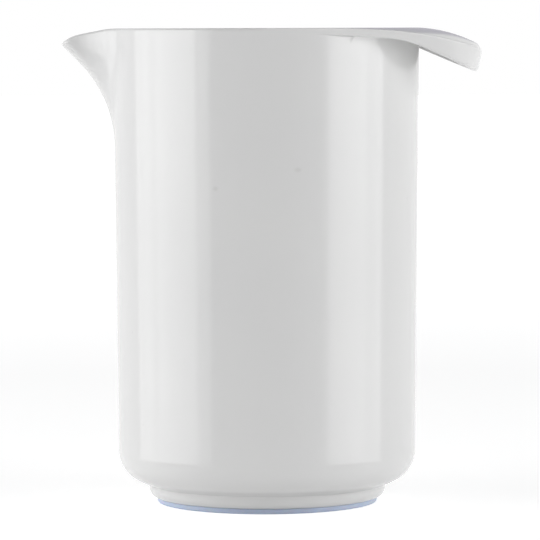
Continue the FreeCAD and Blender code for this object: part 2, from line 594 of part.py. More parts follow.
jug = newBody("jug")
brim = addBrimBlock(jug, "Brim", "0")
edged = trim(jug, "BrimUnderside", addBrimEdge(jug), brim)
shell = jug.newObject("PartDesign::Boolean", "BrimShell")
shell.setObjects([hollow])
shell.Type = "Cut"
addBeakLoft(jug, "PartDesign::AdditiveLoft", "Beak", "0")
channel = addBeakLoft(jug, "PartDesign::SubtractiveLoft", "Channel", "Sizes.WallThickness")
trim(jug, "RimTrim", addLipProfile(jug), channel)
wall = spin(jug, "PartDesign::Revolution", "LowerWall", addWallSection(jug))
addRounding(jug, "RimRounding", wall)

ring = newBody("non_slip_ring")
spin(ring, "PartDesign::Revolution", "Ring", addRingSection(ring))

document.recompute()
for item in document.Objects:
    if "Invalid" in item.State or "Error" in item.State:
        raise RuntimeError(item.Name + " failed: " + item.getStatusString())
for body in (jug, ring):
    if body.Shape.isNull() or not body.Shape.isValid() or len(body.Shape.Solids) != 1:
        raise RuntimeError(body.Label + " is not one valid solid")

os.makedirs("parts", exist_ok=True)
for body in (jug, ring):
    body.Shape.exportStep("parts/%s.step" % body.Label)
    print(body.Label, round(body.Shape.Volume / 1000, 1), "cm3")
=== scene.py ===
import bmesh
import bpy
import math
from mathutils import Matrix, Vector


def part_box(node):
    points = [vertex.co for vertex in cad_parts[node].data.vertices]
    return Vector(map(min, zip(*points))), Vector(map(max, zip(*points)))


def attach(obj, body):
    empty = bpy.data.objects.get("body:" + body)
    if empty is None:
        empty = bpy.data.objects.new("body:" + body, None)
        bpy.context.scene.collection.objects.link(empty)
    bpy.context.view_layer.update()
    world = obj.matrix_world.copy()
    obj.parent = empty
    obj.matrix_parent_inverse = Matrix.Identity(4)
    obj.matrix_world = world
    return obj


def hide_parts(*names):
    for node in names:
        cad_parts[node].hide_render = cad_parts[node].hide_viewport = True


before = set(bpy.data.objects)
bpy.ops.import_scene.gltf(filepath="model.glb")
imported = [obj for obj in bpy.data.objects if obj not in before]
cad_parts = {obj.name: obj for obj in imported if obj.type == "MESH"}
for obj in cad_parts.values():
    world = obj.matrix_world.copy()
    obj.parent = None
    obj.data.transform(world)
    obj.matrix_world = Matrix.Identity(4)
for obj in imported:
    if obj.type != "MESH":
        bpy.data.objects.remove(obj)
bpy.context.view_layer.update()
mm = 0.001
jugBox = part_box("jug")
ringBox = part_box("non_slip_ring")


def mix(low, high, share):
    return low + (high - low) * share


def smoothStep(share):
    share = min(max(share, 0.0), 1.0)
    return share * share * (3 - 2 * share)


def linear(hexColour):
    # sRGB hex to the linear colour that the shader wants
    channels = [int(hexColour[i:i + 2], 16) / 255 for i in (1, 3, 5)]
    return tuple(c / 12.92 if c <= 0.04045 else ((c + 0.055) / 1.055) ** 2.4 for c in channels) + (1.0,)


def addNode(owner, kind, settings=None, links=None):
    # settings: socket or property to value; links: socket to what feeds it; sockets go by name or number
    tree = owner.node_tree
    node = tree.nodes.new(kind)
    for name, value in (settings or {}).items():
        if isinstance(name, int) or name in node.inputs:
            node.inputs[name].default_value = value
        else:
            setattr(node, name, value)
    for name, source in (links or {}).items():
        tree.links.new(source, node.inputs[name])
    return node


def addObject(name, data):
    thing = bpy.data.objects.new(name, data)
    bpy.context.scene.collection.objects.link(thing)
    return thing


# the camera is on the front, level with the rim and far off, so the view is nearly flat
cameraSetup = {"place": (1.21, -1330.0, 167.5), "pitch": -3.676, "roll": -0.18, "lens": 251.1, "sensor": 36}


def addCamera(setup):
    data = bpy.data.cameras.new("Camera")
    data.lens = setup["lens"]
    data.sensor_width = setup["sensor"]
    camera = addObject("Camera", data)
    tilt = Matrix.Rotation(math.radians(90 + setup["pitch"]), 4, "X")
    roll = Matrix.Rotation(math.radians(setup["roll"]), 4, "Z")
    camera.matrix_world = Matrix.Translation(Vector(setup["place"]) * mm) @ tilt @ roll
    bpy.context.scene.camera = camera


addCamera(cameraSetup)
print("camera ready")

# the jug's form, in millimetres, with depths measured down from the rim
jug = {
    "height": jugBox[1][2] / mm, "rimRadius": 53.98, "wallDraft": 0.57, "wall": 2.6,
    "floorTop": 10.0, "recessTop": 7.0, "outerCorner": 11.5, "innerCorner": 8.8,
    "underSlope": 24.5, "crease": 6.3, "footRadius": 41.75, "footRounding": 3.4,
    "footLift": jugBox[0][2] / mm, "groove": (36.0, 38.0), "grooveTop": 3.8, "footInner": 34.4,
    "rimRound": 1.0, "innerRimRound": 0.75, "softEdge": 0.35,
    "rimStep": 2.0,  # the rim's roundings aim at points this far down the faces
    "landCrowding": 1.6,  # how much closer the rows on top of the rim lie towards its outer edge
    "floorShares": (0.12, 0.3, 0.5, 0.7, 0.86, 0.96),  # rows on the floor, on the way out to its corner
    "underShares": (0.3, 0.6, 0.85),  # rows on the slope between the round corner and the foot
    "creaseOut": 0.12, "creaseUp": 0.06,  # where the slope turns into the foot
    "recessMiddle": 6.0, "recessShares": (0.8, 0.5),
    "upright": 60,  # the columns are upright from this depth down
    "bandDepth": 22.0,  # the rows of the rim and the brim end here
    "wallRows": (24.5, 27, 29.5, 32, 34.5, 37, 39.2, 41.4, 44, 50, 60, 75, 90, 105, 120, 135),
}
beak = {
    "depth": 41.4,  # below the rim, where it leaves the wall
    "sweep": 42.5, "angle": 45.0,  # the keel's long curve out, then straight
    "noseRadius": 4.6, "tipRadius": 4.2, "widestNose": 23.6, "flank": 26.0, "overrun": 2.0,
    "flowAngle": 15.0,  # below this slope of the keel the columns run straight down
    "noseShare": 0.4,  # the part of the beak's columns that goes to the keel
    "lipStart": 52.2, "leadRadius": 27.0, "leadSlope": 10.5,  # the rim's first slow fall
    "lipBreak": 65.0, "lipRadius": 15.0, "lipSlope": 36.0,  # and its turn down at the tip
    "tipRound": 1.7,  # the rim's outer rounding grows to this at the tip
    "lipGuess": 1.0, "leastSine": 0.01,
}
brim = {
    "start": 80.0, "reach": 78.13, "flank": 180.0, "corner": 28.0, "end": 55.0, "draft": 13.0,
    "wall": 2.6, "crownCentre": 51.3, "crownRadius": 50.0, "crownBreak": 73.6, "roll": 4.2,
    "rollSlope": 72.0, "edgeDepth": 1.15, "edgeSlope": 3.4, "edgeBreak": 41.3, "edgeBend": 35.1,
    "edgeFall": 23.7, "lowerRound": 1.6, "innerRound": 0.6, "ceilingRound": 1.4, "rootRound": 1.0,
    "blend": (84.0, 71.0),  # azimuths between which the brim's rows open out of the wall
    "pocketGrowth": 4.0,  # the hollow under the brim is full height once it is this wide
    "leastLedge": 0.05,  # a narrower ledge is left out, and its rows run down the wall
    "ledgeDrop": 1.0,  # the spacing of those rows
    "edgeGuess": 4.0, "crownMargin": 1.0, "mouthMargin": 3.0,  # where the searches start and end
    "crownStep": 0.6, "skirtStep": 3.0,  # points beside the crown's edge that its rounding aims at
}


def wallRadius(depth):
    return jug["rimRadius"] - depth * math.tan(math.radians(jug["wallDraft"]))


def keelLaw(depth):
    # how far the keel stands out of the wall, and the radius across it
    steepest = math.radians(beak["angle"])
    straightFrom = beak["depth"] - beak["sweep"] * math.sin(steepest)
    if depth < straightFrom:
        advance = beak["sweep"] * (1 - math.cos(steepest)) + (straightFrom - depth) * math.tan(steepest)
        share = (straightFrom - depth) / (straightFrom + beak["overrun"])
        return advance, mix(beak["noseRadius"] / math.sin(steepest), beak["tipRadius"], share)
    sine = max(beak["depth"] - depth, 0) / beak["sweep"]
    advance = beak["sweep"] * (1 - math.cos(math.asin(sine)))
    return advance, min(beak["noseRadius"] / max(sine, beak["leastSine"]), beak["widestNose"])


flowDepth = beak["depth"] - beak["sweep"] * math.sin(math.radians(beak["flowAngle"]))


def beakArcs(depth):
    # level section: keel circle (middle, nose), flank circle (along, across), wall circle
    wall = wallRadius(depth)
    advance, nose = keelLaw(depth)
    middle = wall + advance - nose
    along = (middle ** 2 + (wall + beak["flank"]) ** 2 - (nose + beak["flank"]) ** 2) / (2 * middle)
    across = math.sqrt(max((wall + beak["flank"]) ** 2 - along ** 2, 0))
    return wall, middle, nose, along, across


def beakPoint(share, depth, inset):
    # a share of 0 is the keel, 1 is where the flank meets the round wall; distances run towards the tip
    middle, nose, along, across = beakArcs(depth)[1:]
    if share <= beak["noseShare"]:
        turn = math.atan2(across, along - middle) * share / beak["noseShare"]
        return middle + (nose - inset) * math.cos(turn), (nose - inset) * math.sin(turn)
    first = math.atan2(-across, middle - along)
    last = math.atan2(-across, -along)
    turn = mix(first, last, (share - beak["noseShare"]) / (1 - beak["noseShare"]))
    radius = beak["flank"] + inset
    return along + radius * math.cos(turn), across + radius * math.sin(turn)


def beakRadius(azimuth, depth, inset):
    # the same section met by a ray from the axis, for the shallow foot of the beak
    wall, middle, nose, along, across = beakArcs(depth)
    if azimuth >= math.atan2(across, along):
        return wall - inset
    reach = (nose - inset) / (nose + beak["flank"])
    if azimuth <= math.atan2(across * reach, middle + (along - middle) * reach):
        return (middle * math.cos(azimuth)
                + math.sqrt(max((nose - inset) ** 2 - (middle * math.sin(azimuth)) ** 2, 0)))
    radius = beak["flank"] + inset
    facing = along * math.cos(azimuth) + across * math.sin(azimuth)
    beside = along * math.sin(azimuth) - across * math.cos(azimuth)
    return facing - math.sqrt(max(radius ** 2 - beside ** 2, 0))


def lipFall(x):
    # how far the rim has fallen at x, towards the tip
    out = -x - beak["lipStart"]
    if out <= 0:
        return 0.0
    lead = math.radians(beak["leadSlope"])
    leadEnd = beak["leadRadius"] * math.sin(lead)
    if out <= leadEnd:
        return beak["leadRadius"] - math.sqrt(beak["leadRadius"] ** 2 - out ** 2)
    fall = beak["leadRadius"] * (1 - math.cos(lead))
    straight = beak["lipBreak"] - beak["lipStart"] - leadEnd
    if out <= leadEnd + straight:
        return fall + (out - leadEnd) * math.tan(lead)
    fall += straight * math.tan(lead)
    out -= leadEnd + straight
    steep = math.radians(beak["lipSlope"])
    radius = beak["lipRadius"]
    arcEnd = radius * (math.sin(steep) - math.sin(lead))
    if out <= arcEnd:
        sine = math.sin(lead) + out / radius
        return fall + radius * (math.cos(lead) - math.sqrt(1 - sine ** 2))
    return fall + radius * (math.cos(lead) - math.cos(steep)) + (out - arcEnd) * math.tan(steep)


def rayToCircle(azimuth, centre, radius):
    # far crossing of a ray from the axis with a circle
    along = centre[0] * math.cos(azimuth) + centre[1] * math.sin(azimuth)
    return along + math.sqrt(radius ** 2 - centre[0] ** 2 - centre[1] ** 2 + along ** 2)


def brimCircles():
    # centres of the outline's flank, corner and end on the far side; the near side mirrors them
    swing = brim["flank"] - jug["rimRadius"]
    start = math.radians(brim["start"])
    flank = Vector((-swing * math.cos(start), -swing * math.sin(start)))
    end = Vector((brim["reach"] - brim["end"], 0))
    near = brim["flank"] - brim["corner"]
    far = brim["end"] - brim["corner"]
    apart = (end - flank).length
    along = (apart ** 2 + near ** 2 - far ** 2) / (2 * apart)
    across = math.sqrt(near ** 2 - along ** 2)
    unit = (end - flank) / apart
    corner = flank + along * unit + across * Vector((unit.y, -unit.x))
    return flank, corner, end


flankCentre, cornerCentre, endCentre = brimCircles()


def brimRadius(azimuth, inset):
    # the brim's outline in plan, pulled in by inset
    if azimuth >= math.radians(brim["start"]):
        return jug["rimRadius"] - inset
    toFlank = (cornerCentre - flankCentre).normalized() * (brim["flank"] - inset) + flankCentre
    toEnd = (cornerCentre - endCentre).normalized() * (brim["end"] - inset) + endCentre
    if azimuth > math.atan2(toFlank.y, toFlank.x):
        return rayToCircle(azimuth, flankCentre, brim["flank"] - inset)
    if azimuth > math.atan2(toEnd.y, toEnd.x):
        return rayToCircle(azimuth, cornerCentre, brim["corner"] - inset)
    return rayToCircle(azimuth, endCentre, brim["end"] - inset)


def crownFall(radius, inset):
    # the brim's top, or with an inset its ceiling: one long arc and a roll over the nose
    crest = math.sqrt(brim["crownRadius"] ** 2 - (jug["rimRadius"] - brim["crownCentre"]) ** 2)
    if radius <= brim["crownCentre"]:
        return max(crest - brim["crownRadius"] + inset, 0)
    lean = math.asin((brim["crownBreak"] - brim["crownCentre"]) / brim["crownRadius"])
    gap = brim["crownRadius"] - brim["roll"]
    big = brim["crownRadius"] - inset
    small = brim["roll"] - inset
    if radius <= brim["crownCentre"] + big * math.sin(lean):
        return max(crest - math.sqrt(big ** 2 - (radius - brim["crownCentre"]) ** 2), 0)
    rollCentre = (brim["crownCentre"] + gap * math.sin(lean), crest - gap * math.cos(lean))
    steep = math.radians(brim["rollSlope"])
    out = radius - rollCentre[0]
    if out <= small * math.sin(steep):
        return rollCentre[1] - math.sqrt(small ** 2 - out ** 2)
    return rollCentre[1] - small * math.cos(steep) + (out - small * math.sin(steep)) * math.tan(steep)


def edgeFall(x):
    # depth of the brim's lower edge
    gentle, steep = math.radians(brim["edgeSlope"]), math.radians(brim["edgeFall"])
    if x <= brim["edgeBreak"]:
        return brim["edgeDepth"] + max(x, 0) * math.tan(gentle)
    bend = brim["edgeBend"]
    middle = brim["edgeBreak"] - bend * math.sin(gentle)
    low = brim["edgeDepth"] + brim["edgeBreak"] * math.tan(gentle) + bend * math.cos(gentle)
    leave = middle + bend * math.sin(steep)
    if x <= leave:
        return low - math.sqrt(bend ** 2 - (x - middle) ** 2)
    return low - bend * math.cos(steep) + (x - leave) * math.tan(steep)


solving = {"settleRounds": 24, "settlePull": 0.7, "halvings": 50}


def settle(law, guess):
    # a few rounds of a law that pulls its own answer in
    for _ in range(solving["settleRounds"]):
        guess = mix(guess, law(guess), solving["settlePull"])
    return guess


def whereMet(law, low, high):
    # the distance below which the law lies further out, found by halving
    for _ in range(solving["halvings"]):
        middle = (low + high) / 2
        if middle < law(middle):
            low = middle
        else:
            high = middle
    return low


# an arc takes at most this part of each side; a turn (radians) or a side (mm) this small is left as it is
rounding = {"sidePart": 0.45, "leastTurn": 0.02, "leastSide": 1e-6, "flatPart": 0.1}


def roundCorner(before, corner, after, radius, steps):
    # replaces a corner by points of an arc that touches both its sides
    back, on = before - corner, after - corner
    if min(back.length, on.length) < rounding["leastSide"]:
        return [corner.copy() for _ in range(steps + 1)]
    turn = math.pi - back.angle(on)
    if turn < rounding["leastTurn"]:
        part = rounding["flatPart"]
        return [mix(corner + back * part, corner + on * part, k / steps) for k in range(steps + 1)]
    length = min(radius * math.tan(turn / 2), min(back.length, on.length) * rounding["sidePart"])
    first, last = corner + back.normalized() * length, corner + on.normalized() * length
    halfOpen = (math.pi - turn) / 2
    centre = corner + (back.normalized() + on.normalized()).normalized() * (length / math.cos(halfOpen))
    points = []
    for k in range(steps + 1):
        share = k / steps
        one = math.sin((1 - share) * turn) / math.sin(turn)
        other = math.sin(share * turn) / math.sin(turn)
        points.append(centre + (first - centre) * one + (last - centre) * other)
    return points


def between(first, last, count):
    # evenly spaced points inside a straight run, its ends left out
    return [mix(first, last, k / (count + 1)) for k in range(1, count + 1)]


def spaced(first, last, count):
    # evenly spaced values that start at the first and stop short of the last
    return [mix(first, last, k / count) for k in range(count)]


# each column of points knows its place in plan at any depth, on the outer and the inner face
def beakColumn(share, side):
    def place(depth, inset):
        if depth <= flowDepth:
            along, across = beakPoint(share, depth, inset)
        else:
            ahead, aside = beakPoint(share, flowDepth, inset)
            azimuth = math.atan2(aside, ahead)
            radius = beakRadius(azimuth, depth, inset)
            along, across = radius * math.cos(azimuth), radius * math.sin(azimuth)
        return Vector((-along, across * side))
    rimRound = mix(beak["tipRound"], jug["rimRound"], smoothStep(share))
    return {"place": place, "azimuth": None, "rimRound": rimRound}


def wallColumn(share, side):
    # between the beak's flank and the side of the jug, where azimuths are counted from the grip
    def place(depth, inset):
        along, across = beakArcs(min(depth, flowDepth))[3:]
        azimuth = mix(math.pi - math.atan2(across, along), math.pi / 2, share)
        radius = wallRadius(depth) - inset
        return Vector((radius * math.cos(azimuth), radius * math.sin(azimuth) * side))
    return {"place": place, "azimuth": None, "rimRound": jug["rimRound"]}


def brimColumn(degrees, side):
    azimuth = math.radians(degrees)

    def place(depth, inset):
        radius = wallRadius(depth) - inset
        return Vector((radius * math.cos(azimuth), radius * math.sin(azimuth) * side))
    return {"place": place, "azimuth": azimuth, "side": side, "rimRound": jug["rimRound"]}


# how many rows of points each stretch of the profile has, and how many columns each stretch of the rim
rows = {"land": 16, "arc": 5, "skirt": 4, "ledge": 2, "inside": 3, "smallArc": 3, "ceiling": 5, "root": 8,
        "innerBand": 10, "innerCorner": 9, "outerCorner": 12, "footRounding": 8, "softEdge": 3}
columnCounts = {"nose": 9, "flank": 13, "wall": 26, "brimSide": 22, "brimEnd": 30}
brimSideEnd = 40  # azimuth where the brim's side columns give way to its closer end columns


def solid(place, depth):
    # a plan place at a depth, as a point
    return Vector((place.x, place.y, jug["height"] - depth))


def brimProfile(column):
    # distance from the axis and depth, from the crown's outer edge round the brim to the wall
    azimuth = column["azimuth"]
    lean = math.tan(math.radians(brim["draft"]))

    def skirt(depth, inset=0.0):
        return max(brimRadius(azimuth, depth * lean + inset), wallRadius(depth))

    def edgePoint(inset):
        # where the skirt, outside or inside, meets the brim's lower edge
        depth = settle(lambda depth: edgeFall(skirt(depth, inset) * math.cos(azimuth)), brim["edgeGuess"])
        return Vector((skirt(depth, inset), depth))
    wall = brim["wall"]
    limit = brim["reach"] + brim["crownMargin"]
    topX = whereMet(lambda x: skirt(crownFall(x, 0)), brim["crownCentre"], limit)
    top = Vector((topX, crownFall(topX, 0)))
    bottom, mouth = edgePoint(0.0), edgePoint(wall)
    width = mouth.x - wallRadius(mouth.y)
    end = Vector((wallRadius(jug["bandDepth"]), jug["bandDepth"]))
    if width < brim["leastLedge"]:
        high, low = mouth.y + brim["ledgeDrop"], mouth.y + 2 * brim["ledgeDrop"]
        ceilingOuter, ceilingInner = Vector((wallRadius(high), high)), Vector((wallRadius(low), low))
        ceiling = between(ceilingOuter, ceilingInner, rows["ceiling"])
    else:
        share = smoothStep(width / brim["pocketGrowth"])
        limit = mouth.x + brim["mouthMargin"]
        outerX = whereMet(lambda x: skirt(crownFall(x, wall), wall), wallRadius(mouth.y), limit)

        def ceilingPoint(step):
            x = mix(outerX, wallRadius(wall), step)
            return Vector((x, mix(edgeFall(x * math.cos(azimuth)), crownFall(x, wall), share)))
        ceilingOuter, ceilingInner = ceilingPoint(0), ceilingPoint(1)
        ceiling = [ceilingPoint(k / (rows["ceiling"] + 1)) for k in range(1, rows["ceiling"] + 1)]
    corners = {
        "bottom": roundCorner(top, bottom, mouth, brim["lowerRound"], rows["arc"]),
        "mouth": roundCorner(bottom, mouth, ceilingOuter, brim["innerRound"], rows["smallArc"]),
        "ceilingOuter": roundCorner(mouth, ceilingOuter, ceiling[0], brim["ceilingRound"], rows["smallArc"]),
        "ceilingInner": roundCorner(ceiling[-1], ceilingInner, end, brim["rootRound"], rows["smallArc"]),
    }
    beforeX = top.x - brim["crownStep"]
    before = Vector((beforeX, crownFall(beforeX, 0)))
    after = top + (bottom - top).normalized() * brim["skirtStep"]
    edge = roundCorner(before, top, after, jug["rimRound"], rows["arc"])
    line = [edge[-1]]
    for corner, stretch in (("bottom", "skirt"), ("mouth", "ledge"), ("ceilingOuter", "inside")):
        line += between(line[-1], corners[corner][0], rows[stretch]) + corners[corner]
    line += ceiling + corners["ceilingInner"]
    line += between(line[-1], end, rows["root"]) + [end]
    return edge, line[1:]


def facePoint(column, depth, inset):
    # the column's point at a depth, on the outer face or inset from it
    return solid(column["place"](depth, inset), depth)


def rimDepth(place, inset):
    # where a column meets the falling lip
    return settle(lambda depth: lipFall(place(depth, inset).x), beak["lipGuess"])


# rows from the rim's outer rounding down to the foot of the band, the same number in every column
bandCount = (rows["skirt"] + rows["arc"] + 1 + rows["ledge"] + rows["inside"] + 3 * (rows["smallArc"] + 1)
             + rows["ceiling"] + rows["root"] + 1)


def rimBand(column):
    # inner wall up, over the rim, and down outside to the foot of the band
    wall, step = jug["wall"], jug["rimStep"]
    innerDepth, outerDepth = rimDepth(column["place"], wall), rimDepth(column["place"], 0)
    innerRim, outerRim = facePoint(column, innerDepth, wall), facePoint(column, outerDepth, 0)
    innerBelow = facePoint(column, innerDepth + step, wall)
    outerBelow = facePoint(column, outerDepth + step, 0)
    innerArc = roundCorner(innerBelow, innerRim, outerRim, jug["innerRimRound"], rows["arc"])
    outerArc = roundCorner(innerRim, outerRim, outerBelow, column["rimRound"], rows["arc"])
    begin = jug["height"] - outerArc[-1].z
    depths = [mix(begin, jug["bandDepth"], k / bandCount) for k in range(1, bandCount + 1)]
    outerBand = [facePoint(column, depth, 0) for depth in depths]
    if column["azimuth"] is not None:
        azimuth, side = column["azimuth"], column["side"]
        closed, full = brim["blend"]
        share = smoothStep((closed - math.degrees(azimuth)) / (closed - full))
        heading = Vector((math.cos(azimuth), math.sin(azimuth) * side))
        outerArc, opened = [[solid(heading * point.x, point.y) for point in points]
                            for points in brimProfile(column)]
        outerBand = [mix(plain, own, share) for plain, own in zip(outerBand, opened)]
    innerEnd = jug["height"] - innerArc[0].z
    innerBand = spaced(jug["bandDepth"], innerEnd, rows["innerBand"])
    points = [facePoint(column, depth, wall) for depth in innerBand] + innerArc
    first, last = innerArc[-1], outerArc[0]
    start = Vector((first.x, first.y))
    stop = Vector((last.x, last.y))
    for k in range(1, rows["land"]):
        share = 1 - (1 - k / rows["land"]) ** jug["landCrowding"]
        flat = mix(start, stop, share)
        depth = jug["height"] - mix(first.z, last.z, share)
        if column["azimuth"] is not None:
            depth = crownFall(flat.length, 0)
        points.append(solid(flat, depth))
    return points + outerArc + outerBand


def arcRows(centre, radius, firstAngle, lastAngle, steps):
    # distance and height along an arc, angles in degrees
    points = []
    for k in range(steps + 1):
        angle = math.radians(mix(firstAngle, lastAngle, k / steps))
        points.append((centre[0] + radius * math.cos(angle), centre[1] + radius * math.sin(angle)))
    return points


def softened(corners, radius, steps):
    # a run of straight profile pieces with every corner slightly rounded
    vectors = [Vector(corner) for corner in corners]
    points = [tuple(vectors[0])]
    for before, corner, after in zip(vectors, vectors[1:], vectors[2:]):
        points += [tuple(point) for point in roundCorner(before, corner, after, radius, steps)]
    return points + [tuple(vectors[-1])]


def insideRows():
    # floor from the middle out and round the corner to the inner wall
    lean = math.radians(jug["wallDraft"])
    corner = jug["innerCorner"]
    height = jug["floorTop"] + corner
    x = wallRadius(jug["height"] - height) - jug["wall"] / math.cos(lean) - corner / math.cos(lean)
    flat = [(x * share, jug["floorTop"]) for share in jug["floorShares"]]
    return flat + arcRows((x, height), corner, -90, -jug["wallDraft"], rows["innerCorner"])


def outsideRows():
    # round the lower corner, in under the body, down the foot, the ring's groove and the recess
    lean, slope = math.radians(jug["wallDraft"]), math.radians(jug["underSlope"])
    corner = jug["outerCorner"]
    # the corner's middle is one radius inside the leaning wall and one above the under slope
    offset = jug["rimRadius"] - corner / math.cos(lean) - jug["height"] * math.tan(lean) - jug["footRadius"]
    rise = jug["crease"] * math.cos(slope) + corner + offset * math.sin(slope)
    height = rise / (math.cos(slope) - math.tan(lean) * math.sin(slope))
    x = wallRadius(jug["height"] - height) - corner / math.cos(lean)
    turn = arcRows((x, height), corner, -jug["wallDraft"], jug["underSlope"] - 90, rows["outerCorner"])
    foot, bend, lift = jug["footRadius"], jug["footRounding"], jug["footLift"]
    leaveX, leaveZ = turn[-1]
    under = [(mix(leaveX, foot, share), mix(leaveZ, jug["crease"], share)) for share in jug["underShares"]]
    crease = [(foot + jug["creaseOut"], jug["crease"] + jug["creaseUp"]),
              (foot, jug["crease"] - jug["creaseOut"])]
    footTurn = arcRows((foot - bend, lift + bend), bend, 0, -90, rows["footRounding"])
    grooveIn, grooveOut = jug["groove"]
    recess = softened([(footTurn[-1][0], lift), (grooveOut, lift), (grooveOut, jug["grooveTop"]),
                       (grooveIn, jug["grooveTop"]), (grooveIn, lift), (jug["footInner"], lift),
                       (jug["footInner"], jug["recessTop"]), (jug["recessMiddle"], jug["recessTop"])],
                      jug["softEdge"], rows["softEdge"])
    middle = [(jug["footInner"] * share, jug["recessTop"]) for share in jug["recessShares"]]
    return turn + under + crease + footTurn + recess[1:-1] + middle + recess[-1:]


def latheMesh(name, columns, looped):
    # quads between neighbouring columns of points; each column is a loop, or has a fan over each open end
    mesh = bmesh.new()
    grid = [[mesh.verts.new(point * mm) for point in column] for column in columns]
    count, height = len(grid), len(grid[0])
    for k in range(count):
        one, other = grid[k], grid[(k + 1) % count]
        for low in range(height if looped else height - 1):
            high = (low + 1) % height
            mesh.faces.new((one[low], other[low], other[high], one[high]))
    for row in () if looped else (0, -1):
        ends = [column[row] for column in grid]
        middle = mesh.verts.new((0, 0, ends[0].co.z))
        for k in range(count):
            mesh.faces.new((ends[k], ends[(k + 1) % count], middle))
    bmesh.ops.recalc_face_normals(mesh, faces=mesh.faces)
    for face in mesh.faces:
        face.smooth = True
    data = bpy.data.meshes.new(name)
    mesh.to_mesh(data)
    mesh.free()
    return addObject(name, data)


def jugColumns():
    # from the beak's keel along the far side to the grip, and back along the near side
    near, far = -1, 1
    counts = columnCounts
    half = [(beakColumn, beak["noseShare"] * k / counts["nose"]) for k in range(1, counts["nose"])]
    half += [(beakColumn, share) for share in spaced(beak["noseShare"], 1, counts["flank"])]
    half += [(wallColumn, share) for share in spaced(0, 1, counts["wall"])]
    half += [(brimColumn, degrees) for degrees in spaced(90, brimSideEnd, counts["brimSide"])]
    half += [(brimColumn, degrees) for degrees in spaced(brimSideEnd, 0, counts["brimEnd"])]
    columns = [beakColumn(0, far)] + [maker(value, far) for maker, value in half]
    return columns + [brimColumn(0, far)] + [maker(value, near) for maker, value in reversed(half)]


def jugPoints(column):
    heading = column["place"](jug["upright"], 0).normalized()
    inner = [Vector((heading.x * r, heading.y * r, z)) for r, z in insideRows()]
    inner += [facePoint(column, depth, jug["wall"]) for depth in reversed(jug["wallRows"])]
    outer = [facePoint(column, depth, 0) for depth in jug["wallRows"]]
    outer += [Vector((heading.x * r, heading.y * r, z)) for r, z in outsideRows()]
    return inner + rimBand(column) + outer


body = latheMesh("jug_body", [jugPoints(column) for column in jugColumns()], looped=False)
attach(body, "root")
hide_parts("jug")
print("jug body ready,", len(body.data.polygons), "faces")

ring = {
    "band": (35.1, 38.9), "height": 1.8, "tongue": (36.0, 38.0), "tongueTop": ringBox[1][2] / mm,
    "outerRound": 1.3, "innerRound": 0.6,  # the tread's two edges
    "bandRound": 0.15, "rootRound": 0.1, "tongueRound": 0.2, "arcRows": 5, "columns": 192,
}


def ringColumn(number):
    # the ring's section, all the way round, at one of its columns
    (inner, outer), (tongueIn, tongueOut) = ring["band"], ring["tongue"]
    high, top = ring["height"], ring["tongueTop"]
    edge, root, tip = ring["bandRound"], ring["rootRound"], ring["tongueRound"]
    corners = [(inner, high, edge), (inner, 0, ring["innerRound"]), (outer, 0, ring["outerRound"]),
               (outer, high, edge), (tongueOut, high, root), (tongueOut, top, tip), (tongueIn, top, tip),
               (tongueIn, high, root)]
    angle = 2 * math.pi * number / ring["columns"]
    points = []
    for k, (x, z, radius) in enumerate(corners):
        before, after = Vector(corners[k - 1][:2]), Vector(corners[(k + 1) % len(corners)][:2])
        points += roundCorner(before, Vector((x, z)), after, radius, ring["arcRows"])
    return [Vector((point.x * math.cos(angle), point.x * math.sin(angle), point.y)) for point in points]


band = latheMesh("ring_band", [ringColumn(number) for number in range(ring["columns"])], looped=True)
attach(band, "root")
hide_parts("non_slip_ring")
print("ring ready,", len(band.data.polygons), "faces")

melamineSetup = {
    "pale": "#e8e8e7", "shade": "#e3e3e3",  # the moulding's faint cloudiness
    "ior": 1.56, "roughness": (0.10, 0.16), "cloudSize": 38, "cloudDetail": 2,
    "orangePeel": 2.4, "orangePeelHeight": 0.004,  # mm; peel drawn coarser to show
    # rub marks on the front: x, z, half width, half height; each is even up to a share of its reach
    "scuffs": ((10.8, 119.4, 1.6, 1.1), (-17.3, 113.0, 1.3, 1.1)), "scuffEven": 0.3,
    "scuffColour": "#c4c3bf", "scuffDepth": 12, "scuffStrength": 0.26,
    "speckSpacing": 17, "speckRadius": 0.035, "speckStrength": 0.16,  # radius as a share of the spacing
}
elastomerSetup = {
    "pale": "#bccae6", "shade": "#c6d0e0",  # a pale blue tint, greyer where it has picked up dust
    "ior": 1.45, "roughness": (0.38, 0.55), "cloudSize": 3, "cloudDetail": 3,
    "scatter": 0.25, "scatterDepth": 1.5,
    "grain": 0.9, "grainHeight": 0.012,  # mm; grain drawn coarser to show
}


def addMaterial(name, settings):
    # settings: socket of the material's own shader to its uniform value
    material = bpy.data.materials.new(name)
    material.use_nodes = True
    bsdf = material.node_tree.nodes["Principled BSDF"]
    for socket, value in settings.items():
        bsdf.inputs[socket].default_value = value
    return material, bsdf


# the colour sockets of a node that mixes two colours
mixSockets = {"first": 6, "second": 7, "result": 2}


